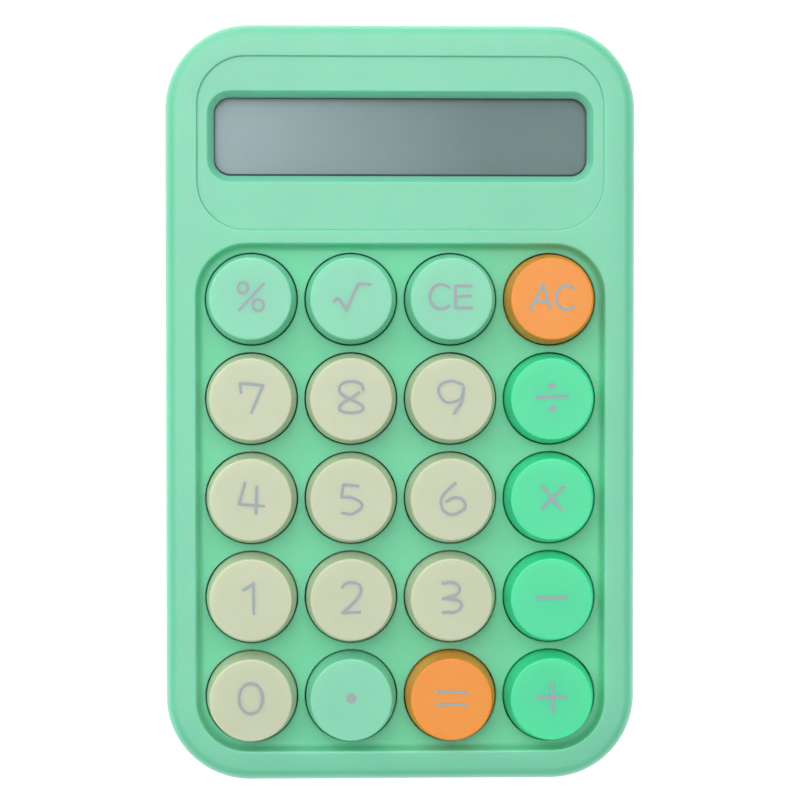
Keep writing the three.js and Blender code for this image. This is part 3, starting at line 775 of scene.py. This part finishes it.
def battery_door():
    """A plate with a round hinge edge, eased edges and grip grooves across it."""
    made = Surface(BASE)
    nose = (DOOR_TOP - DOOR_BOTTOM) / 2
    levels = [DOOR_BOTTOM + nose * (1 - math.cos(math.pi * i / 12)) for i in range(13)]
    ease = 0.25

    def plate_at(level):
        back = nose - math.sqrt(max(0.0, nose**2 - (level - HINGE.z) ** 2))
        edge = max(0.0, ease - min(level - DOOR_BOTTOM, DOOR_TOP - level))
        inset = ease - math.sqrt(max(0.0, ease**2 - edge**2))
        return box_outline(inset - DOOR_X, DOOR_X - inset, DOOR_FRONT + inset, DOOR_BACK - back, 0.4)

    rings = [made.ring(plate_at(level), level) for level in levels]
    made.wall(*rings)
    made.flat(rings[-1])
    grooves = []
    for i in range(5):
        y = DOOR_FRONT + 3.2 + 1.9 * i
        half = 7 - 0.9 * abs(i - 2)
        slot = box_outline(-half, half, y - 0.45, y + 0.45, 0.44, 6)
        shallow = box_outline(0.15 - half, half - 0.15, y - 0.3, y + 0.3, 0.29, 6)
        mouth = made.ring(slot, DOOR_BOTTOM)
        made.cap(made.wall(mouth, made.ring(shallow, DOOR_BOTTOM + 0.35)))
        grooves.append(mouth)
    made.flat(rings[0], *grooves)
    made.finish("battery_door_plate", CASE_MINT, "door", "battery_door", "case_plastic")
    for side, name in ((-1, "left"), (1, "right")):
        pin = Surface(BASE)
        ends = [(0.5, 0.0), (0.5, DOOR_PIN - 0.1), (0.4, DOOR_PIN)]
        rings = []
        for radius, reach in ends:
            points = circle(0, 0, radius, 24)
            rings.append([
                pin.bm.verts.new(Vector((side * (DOOR_X + reach), HINGE.y + a, HINGE.z + b)) * MM)
                for a, b in points
            ])
        pin.wall(*rings)
        pin.cap(rings[0])
        pin.cap(rings[-1])
        pin.finish("door_pin_" + name, CASE_MINT, "door", None, "case_plastic")


# ---------------------------------------------------------------- key caps and legends

CAP_TOP_R = 8.2
CAP_SHOULDER = 0.35
CAP_SKIRT_R = 9.4
CAP_SKIRT_END = -6.8
CAP_WALL = 1.0
CAP_CEILING = 2.2
STEM_R = 2.2
STEM_END = -9.0
LEGEND_HEIGHT = 0.015


def cap_profile():
    corner = [(CAP_TOP_R + a, CAP_TOP - d) for a, d in fillet(CAP_SHOULDER, 8)]
    inner_r = CAP_TOP_R + CAP_SHOULDER - CAP_WALL
    eased = 0.2
    return [
        (0.0, CAP_TOP),
        (CAP_TOP_R - 1.0, CAP_TOP),
        *corner,
        (CAP_SKIRT_R, WELL_FLOOR + 0.2),
        (CAP_SKIRT_R, CAP_SKIRT_END + eased),
        (CAP_SKIRT_R - 0.06, CAP_SKIRT_END + 0.06),
        (CAP_SKIRT_R - eased, CAP_SKIRT_END),
        (CAP_SKIRT_R - CAP_WALL, CAP_SKIRT_END),
        (CAP_SKIRT_R - CAP_WALL, WELL_FLOOR),
        (inner_r, CAP_CEILING - 0.6),
        (inner_r - 0.2, CAP_CEILING - 0.15),
        (inner_r - 0.6, CAP_CEILING),
        (STEM_R + 0.5, CAP_CEILING),
        (STEM_R + 0.1, CAP_CEILING - 0.2),
        (STEM_R, CAP_CEILING - 0.6),
        (STEM_R, STEM_END + 0.4),
        (STEM_R - 0.4, STEM_END),
        (0.0, STEM_END),
    ]


def curve_through(points, closed=False, steps=8):
    """A smooth line through points, by Catmull-Rom."""
    count = len(points)
    found = []
    spans = count if closed else count - 1
    for i in range(spans):
        if closed:
            a, b, c, d = (Vector(points[(i + k - 1) % count]) for k in range(4))
        else:
            b, c = Vector(points[i]), Vector(points[i + 1])
            a = Vector(points[i - 1]) if i else b * 2 - c
            d = Vector(points[i + 2]) if i + 2 < count else c * 2 - b
        for s in range(steps):
            t = s / steps
            found.append(
                0.5 * (2 * b + (c - a) * t + (2 * a - 5 * b + 4 * c - d) * t**2 + (3 * b - a - 3 * c + d) * t**3)
            )
    found.append(Vector(points[0] if closed else points[-1]))
    return [tuple(p) for p in found]


def loop_round(x, y, radius_x, radius_y, start=0, end=360, steps=36):
    return [
        (x + radius_x * math.cos(a), y + radius_y * math.sin(a))
        for a in (math.radians(start + (end - start) * i / steps) for i in range(steps + 1))
    ]


# Each legend is a list of pen strokes round the middle of its cap, in millimetres.
LEGENDS = {
    "percent": [
        loop_round(-1.55, 1.95, 1.1, 1.15),
        [(2.9, 2.85), (-2.35, -2.8)],
        loop_round(1.7, -1.75, 1.2, 1.2, 100, 460),
    ],
    "root": [curve_through([(-3.7, -1.0), (-2.65, -0.4), (-1.0, -2.85)], steps=6)
             + curve_through([(-1.0, -2.85), (1.2, 2.05), (2.0, 2.75), (4.1, 2.7)])],
    "clear_entry": [
        loop_round(-2.25, 0.05, 2.45, 2.65, 48, 312),
        [(4.2, 2.35), (0.85, 2.4), (0.85, -2.35), (4.3, -2.35)],
        [(0.9, 0.05), (4.1, 0.2)],
    ],
    "all_clear": [
        [(-4.6, -2.65), (-1.95, 2.75), (-0.35, -2.35)],
        [(-3.45, -0.9), (-0.8, -0.95)],
        loop_round(3.1, -0.1, 2.2, 2.55, 48, 312),
    ],
    "7": [[(-2.0, 1.0), (-2.2, 3.1), (2.65, 2.65), (0.25, -3.2)]],
    "8": [curve_through([(2.65, 1.65), (2.2, 2.95), (0.15, 3.5), (-2.1, 2.9), (-2.4, 1.1), (-0.45, -0.25),
                         (2.2, -1.6), (2.35, -2.75), (0.1, -3.3), (-2.35, -2.75), (-2.2, -1.5), (-0.3, -0.25),
                         (1.75, 1.1)])],
    "9": [curve_through([(2.35, 2.75), (0.1, 3.55), (-2.35, 2.75), (-2.75, 1.0), (-1.5, -0.85), (0.2, -1.0),
                         (2.0, -0.1), (2.65, 2.2)])
          + curve_through([(2.65, 2.2), (2.2, -0.9), (0.55, -3.4)])],
    "divide": [[(-3.35, -0.05), (3.35, 0.3)], [(0.0, 2.45), (0.05, 2.45)], [(0.15, -2.35), (0.2, -2.35)]],
    "4": [[(-1.2, 3.3), (-2.5, -1.25), (2.9, -1.7)], [(1.3, 2.5), (1.2, -3.35)]],
    "5": [[(1.5, 2.6), (-1.65, 2.9), (-2.1, 0.2)]
          + curve_through([(-2.1, 0.2), (0.4, 0.0), (2.4, -1.5), (0.4, -3.35), (-2.0, -3.25)])],
    "6": [curve_through([(0.85, 3.2), (-1.5, 1.0), (-2.3, -0.9), (-1.6, -2.9), (0.35, -3.6), (2.5, -2.6),
                         (2.95, -1.5), (2.1, -0.2), (0.4, 0.05), (-1.1, -0.8)])],
    "multiply": [[(-2.15, 2.55), (2.1, -2.55)], [(2.65, 2.3), (-2.1, -2.3)]],
    "1": [[(-1.55, 1.8), (0.65, 3.3), (0.65, -3.3)]],
    "2": [curve_through([(-1.95, 2.4), (-1.2, 3.2), (0.2, 3.45), (1.85, 2.7), (1.9, 0.9), (0.3, -1.2), (-1.95, -3.15)])
          + [(-1.95, -3.15), (1.9, -3.0)]],
    "3": [curve_through([(-1.9, 3.15), (0.4, 3.35), (1.75, 2.2), (1.1, 0.7), (-1.9, -0.1)])
          + curve_through([(-1.9, -0.1), (1.2, -0.5), (2.2, -1.6), (1.0, -3.0), (-1.9, -3.15)])],
    "minus": [[(-3.25, -0.1), (3.2, 0.05)]],
    "0": [loop_round(0.0, 0.0, 2.55, 3.3)],
    "point": [[(-0.02, 0.0), (0.02, 0.0)]],
    "equals": [[(-3.2, 1.35), (3.1, 1.1)], [(-3.2, -1.35), (3.1, -1.5)]],
    "plus": [[(-3.0, 0.0), (3.1, 0.1)], [(0.2, 3.2), (0.3, -3.2)]],
}
PEN_R = 0.31
FINE_PEN_R = 0.27
DOT_R = {"point": 1.05, "divide": 0.65}
LEGEND_RISE = 0.35  # above the cap's middle
LEGEND_SCALE = 0.96  # of the strokes as drawn


def distance_field(strokes, name, xs, ys):
    """How far inside the ink each point of a grid is, in millimetres. Negative is outside."""
    gx, gy = np.meshgrid(xs, ys, indexing="ij")
    inside = np.full(gx.shape, -99.0)
    for stroke in strokes:
        length = sum(math.dist(a, b) for a, b in zip(stroke, stroke[1:]))
        pen = FINE_PEN_R if name.isdigit() or name == "percent" else PEN_R
        radius = DOT_R.get(name, pen) if length < 0.1 else pen
        for (ax, ay), (bx, by) in zip(stroke, stroke[1:]):
            dx, dy = bx - ax, by - ay
            span = max(dx * dx + dy * dy, 1e-9)
            t = np.clip(((gx - ax) * dx + (gy - ay) * dy) / span, 0, 1)
            inside = np.maximum(inside, radius - np.hypot(gx - ax - t * dx, gy - ay - t * dy))
    return inside


def ink_outlines(strokes, name, cell=0.12):
    """The outlines of the inked area, as closed lists of points: where the field is zero on the grid's edges."""
    reach = 5.6
    ticks = np.arange(-reach, reach + cell, cell)
    field = distance_field(strokes, name, ticks, ticks)
    field[np.abs(field) < 1e-6] = 1e-6
    after = {}

    def crossing(i, j, k, m):
        share = field[i, j] / (field[i, j] - field[k, m])
        key = (i, j, k, m) if (i, j) < (k, m) else (k, m, i, j)
        x = ticks[i] + share * (ticks[k] - ticks[i])
        y = ticks[j] + share * (ticks[m] - ticks[j])
        return key, (x, y)

    places = {}
    near = np.argwhere(
        (np.minimum.reduce([field[:-1, :-1], field[1:, :-1], field[:-1, 1:], field[1:, 1:]]) < 0)
        & (np.maximum.reduce([field[:-1, :-1], field[1:, :-1], field[:-1, 1:], field[1:, 1:]]) > 0)
    )
    for i, j in near:
        corners = [(i, j), (i + 1, j), (i + 1, j + 1), (i, j + 1)]
        leaving, entering = [], []
        for a, b in zip(corners, corners[1:] + corners[:1]):
            if field[a] > 0 > field[b]:
                leaving.append(crossing(*a, *b))
            elif field[a] < 0 < field[b]:
                entering.append(crossing(*a, *b))
        for start, end in zip(leaving, entering):
            after[start[0]] = end[0]
            places[start[0]], places[end[0]] = start[1], end[1]
    outlines = []
    while after:
        key, following = after.popitem()
        outline = [places[key]]
        while following != key:
            outline.append(places[following])
            following = after.pop(following)
        if len(outline) > 6:
            outlines.append(outline)
    return outlines


def legend(name):
    """The printed legend: a thin film of ink on the cap's top."""
    made = Surface(DECK)
    x0, y0 = KEYS[name]
    tops, lows = [], []
    for outline in ink_outlines(LEGENDS[name], name):
        spots = [(x * LEGEND_SCALE + x0, y * LEGEND_SCALE + y0 + LEGEND_RISE) for x, y in outline]
        low = made.ring(spots, CAP_TOP + 0.002)
        top = made.ring(spots, CAP_TOP + LEGEND_HEIGHT)
        made.wall(low, top)
        lows.append(low)
        tops.append(top)
    made.flat(*tops)
    made.flat(*lows)
    made.finish("legend_" + name, LEGEND_INK, "key_" + name, None, frame_slot("keycap_" + name))


def frame_slot(node):
    return next(s["material_slot"] for s in frame["record"]["subparts"] if s["node"] == node)


def key_cap(name):
    x, y = KEYS[name]
    made = turned(cap_profile(), x, y, DECK)
    slot = frame_slot("keycap_" + name)
    made.finish("cap_" + name, KEY_COLOURS[slot], "key_" + name, "keycap_" + name, slot)


# ---------------------------------------------------------------- display


def eased_slab(made, outline_of, low, high, ease=0.12):
    """A slab whose edges are eased. outline_of gives the outline at an inset."""
    rings = [made.ring(outline_of(ease - a), low + d) for a, d in fillet(ease, 3)]
    rings += [made.ring(outline_of(ease - a), high - d) for a, d in reversed(fillet(ease, 3))]
    made.wall(*rings)
    made.flat(rings[0])
    made.flat(rings[-1])


def slab_levels(node, middle):
    """The lower and upper level, in the deck frame, of a flat CAD node whose length runs along the deck."""
    low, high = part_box(node)
    length = (high.y - low.y) / MM
    thick = ((high.z - low.z) / MM - length * SIN) / (COS - SIN * SIN / COS)
    return middle.z - thick / 2, middle.z + thick / 2, (length - thick * SIN) / COS


def display():
    middle = centre_on_deck("display_lens")
    low, high, length = slab_levels("display_lens", middle)
    pane_width = (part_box("display_lens")[1].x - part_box("display_lens")[0].x) / MM
    pane = Surface(DECK)
    eased_slab(pane, lambda s: rounded_rect(pane_width - 2 * s, length - 2 * s, 2 - s, middle.y, 8), low, high)
    pane.finish("window_pane", ACRYLIC, "body", "display_lens", "display_window")

    middle = centre_on_deck("lcd_panel")
    low, high, length = slab_levels("lcd_panel", middle)
    glass_width = (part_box("lcd_panel")[1].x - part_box("lcd_panel")[0].x) / MM
    split = (low + high) / 2
    ledge = 3.0
    upper = Surface(DECK)
    eased_slab(
        upper,
        lambda s: rounded_rect(glass_width - 2 * s, length - ledge - 2 * s, 0.6 - s, middle.y + ledge / 2, 4),
        split + 0.02,
        high,
        0.08,
    )
    upper.finish("lcd_front_glass", LCD_GREY_AND_REFLECTION, "body", "lcd_panel", "lcd_glass")
    lower = Surface(DECK)
    eased_slab(
        lower, lambda s: rounded_rect(glass_width - 2 * s, length - 2 * s, 0.6 - s, middle.y, 4), low, split, 0.08
    )
    lower.finish("lcd_back_glass", LCD_GREY_AND_REFLECTION, "body", None, "lcd_glass")


def window_shade_strip():
    """A thin dark strip between the roof and the pane, which shows as a line round the opening, widest at the front: a
    dark piece standing in for the shade seen in the gap under the window's edge.
    """
    made = Surface(DECK)
    low, high = ROOF_INSIDE - 0.27, ROOF_INSIDE - 0.03
    # How far the dark strip shows inside the opening: most at the front, where it stands in for painted shade.
    side_show, front_show = 0.13, 0.42

    def inner(outset=0.0):
        width = WINDOW_WIDTH - 2 * side_show
        length = WINDOW_LENGTH - side_show - front_show
        middle = WINDOW_Y + (front_show - side_show) / 2
        return rounded_rect(width, length, WINDOW_R - side_show, middle, 12)

    outer = window_at(1.5)
    rings = [made.ring(outer, low), made.ring(outer, high), made.ring(inner(), high), made.ring(inner(), low)]
    made.wall(*rings, rings[0])
    made.finish("window_shade_strip", SHADE_STRIP_DARK, "body", None, "foot_rubber")


# ---------------------------------------------------------------- feet, screws and battery


def feet():
    for i in (1, 2, 3, 4):
        node = f"foot_{i}"
        low, high = (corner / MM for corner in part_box(node))
        radius = (high.x - low.x) / 2
        edge = [(radius - 0.4 + a, d) for a, d in fillet(0.4, 5)]
        profile = [
            (0.0, 0.12),
            (radius - 1.6, 0.12),
            (radius - 1.4, 0.0),
            *edge,
            (radius, high.z),
            (0.0, high.z),
        ]
        made = turned(profile, (low.x + high.x) / 2, (low.y + high.y) / 2, BASE, 64)
        made.finish("rubber_" + node, FOOT_RUBBER, "body", node, "foot_rubber")


def screws():
    """Pan heads with a cross recess, on threaded shanks."""
    head_r, head, shank_r, length, seat = 2.1, 1.5, 1.1, 9.0, -17.0
    for i, (x, y) in enumerate(screw_spots(), 1):
        made = Surface(DECK)
        arms = cross_outline(x, y, 1.25, 0.28)
        small = cross_outline(x, y, 0.75, 0.2)
        recess = made.ring(arms, seat - head)
        made.cap(made.wall(recess, made.ring(small, seat - head + 0.7)))
        dome = [made.ring(circle(x, y, head_r - 0.5 + a, 48), seat - head + d) for a, d in fillet(0.5, 5)]
        made.flat(dome[0], recess)
        dome.append(made.ring(circle(x, y, head_r, 48), seat))
        dome.append(made.ring(circle(x, y, shank_r, 48), seat))
        level = seat + 0.6
        dome.append(made.ring(circle(x, y, shank_r, 48), level))
        while level < seat + length - 1.4:
            for drop, rise in ((0.0, 0.1), (-0.22, 0.3), (-0.22, 0.45), (0.0, 0.65)):
                dome.append(made.ring(circle(x, y, shank_r + drop, 48), level + rise))
            level += 0.7
        dome.append(made.ring(circle(x, y, 0.35, 48), seat + length))
        made.wall(*dome)
        made.cap(dome[-1])
        made.finish(f"screw_{i}", STEEL, "body", f"case_screw_{i}", "contact_steel")


def cross_outline(x, y, reach, half):
    """A cross of four arms, seen from above."""
    arms = [(reach, -half), (reach, half), (half, half)]
    points = []
    for quarter in range(4):
        c, s = round(math.cos(quarter * math.pi / 2)), round(math.sin(quarter * math.pi / 2))
        points += [(x + a * c - b * s, y + a * s + b * c) for a, b in arms]
    return points


def cell():
    """The battery: a sleeved can with rolled edges and a contact nub."""
    length = (cell_high.x - cell_low.x) / MM
    nub, nub_r, roll = 0.8, 1.9, 0.5
    profile = [(0.0, 0.1), (CELL_R - 1.6, 0.1), (CELL_R - 1.4, 0.0)]
    profile += [(CELL_R - roll + a, d) for a, d in fillet(roll, 5)]
    profile += [(CELL_R - roll + a, length - nub - d) for a, d in reversed(fillet(roll, 5))]
    profile += [(CELL_R - 1.5, length - nub), (CELL_R - 1.7, length - nub - 0.2), (nub_r + 0.3, length - nub - 0.2)]
    profile += [(nub_r, length - nub), (nub_r, length - 0.25), (nub_r - 0.25, length), (0.0, length)]
    along = SCALE @ Matrix.Translation((cell_low.x / MM, CELL.y, CELL.z)) @ Matrix.Rotation(math.pi / 2, 4, "Y")
    made = turned(profile, 0, 0, along, 64)
    made.finish("aaa_cell", CELL_SLEEVE, "body", "battery", "battery_wrap")


def cell_spring():
    """A compressed conical spring of round wire."""
    low, high = (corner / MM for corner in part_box("battery_spring"))
    wire = 0.4
    turns, steps, sides = 3, 40, 12
    rise = high.x - low.x - 2 * wire
    outer = (high.y - low.y) / 2 - wire
    made = Surface(BASE)
    rings = []
    for i in range(turns * steps + 1):
        share = i / (turns * steps)
        angle = 2 * math.pi * turns * share
        radius = outer * (1 - 0.35 * share)
        out = Vector((0, math.cos(angle), math.sin(angle)))
        middle = Vector((low.x + wire + rise * share, CELL.y, CELL.z)) + out * radius
        rings.append([
            made.bm.verts.new((middle + out * wire * math.cos(t) + Vector((wire * math.sin(t), 0, 0))) * MM)
            for t in (2 * math.pi * k / sides for k in range(sides))
        ])
    made.wall(*rings)
    made.cap(rings[0])
    made.cap(rings[-1])
    made.finish("cell_spring", STEEL, "body", "battery_spring", "contact_steel")


def dress_cad_nodes():
    """Finishes for the inner pieces whose CAD shape is kept."""
    finishes = {
        "lcd_holder": WHITE_PLASTIC,
        "lcd_ribbon": RIBBON_FILM,
        "main_board": BOARD_GREEN,
        "controller_chip": CHIP_BLACK,
        "battery_contact": STEEL,
    }
    finishes.update({"switch_" + name: SWITCH_BLACK for name in KEYS})
    for node, material in finishes.items():
        obj = frame["nodes"][node]
        obj.data.materials.clear()
        obj.data.materials.append(material)


# ---------------------------------------------------------------- floor, light and camera


def floor():
    mesh = bpy.data.meshes.new("floor")
    size = 3.0
    made = bmesh.new()
    bmesh.ops.create_grid(made, x_segments=2, y_segments=2, size=size)
    made.to_mesh(mesh)
    made.free()
    mesh.materials.append(pale_floor("pale_floor", linear(252, 252, 252)))
    obj = bpy.data.objects.new("floor", mesh)
    bpy.context.scene.collection.objects.link(obj)


def area_light(name, place, target, size, power, colour=(1, 1, 1)):
    data = bpy.data.lights.new(name, "AREA")
    data.shape = "RECTANGLE"
    data.size, data.size_y = size
    data.energy = power
    data.color = colour
    light = bpy.data.objects.new(name, data)
    light.location = place
    light.rotation_euler = (Vector(target) - Vector(place)).to_track_quat("-Z", "Y").to_euler()
    bpy.context.scene.collection.objects.link(light)


def lights():
    world = bpy.data.worlds.new("studio")
    world.use_nodes = True
    sky = world.node_tree.nodes["Background"]
    sky.inputs["Color"].default_value = (0.96, 0.98, 1.0, 1)
    sky.inputs["Strength"].default_value = 0.25
    bpy.context.scene.world = world
    area_light("overhead_softbox", (-0.02, 0.09, 1.2), (0, 0, 0.02), (1.05, 1.05), 6.6)
    area_light("back_left_panel", (-0.42, 0.72, 1.0), (0, 0, 0.02), (1.8, 1.8), 13.0)
    bpy.context.scene.view_settings.view_transform = "Standard"


def camera():
    """Above the deck, a little to the left of its middle and towards the display."""
    distance, left, forward = 490.0, 15.0, 13.0
    data = bpy.data.cameras.new("camera")
    data.sensor_width = 36.0
    data.lens = 105.5
    data.clip_start = 0.01
    obj = bpy.data.objects.new("camera", data)
    eye = DECK @ Vector((-left, forward, WELL_FLOOR + distance))
    target = DECK @ Vector((-0.1, 0.68, WELL_FLOOR))
    back = (eye - target).normalized()
    up = DECK.to_3x3() @ Vector((0, 1, 0))
    right = up.cross(back).normalized()
    up = back.cross(right)
    turn = Matrix((right, up, back)).transposed()
    obj.matrix_world = Matrix.Translation(eye) @ turn.to_4x4()
    bpy.context.scene.collection.objects.link(obj)
    bpy.context.scene.camera = obj


camera()
lights()
floor()
upper_shell()
lower_shell()
battery_door()
for key in KEYS:
    key_cap(key)
    legend(key)
display()
window_shade_strip()
feet()
screws()
cell()
cell_spring()
dress_cad_nodes()
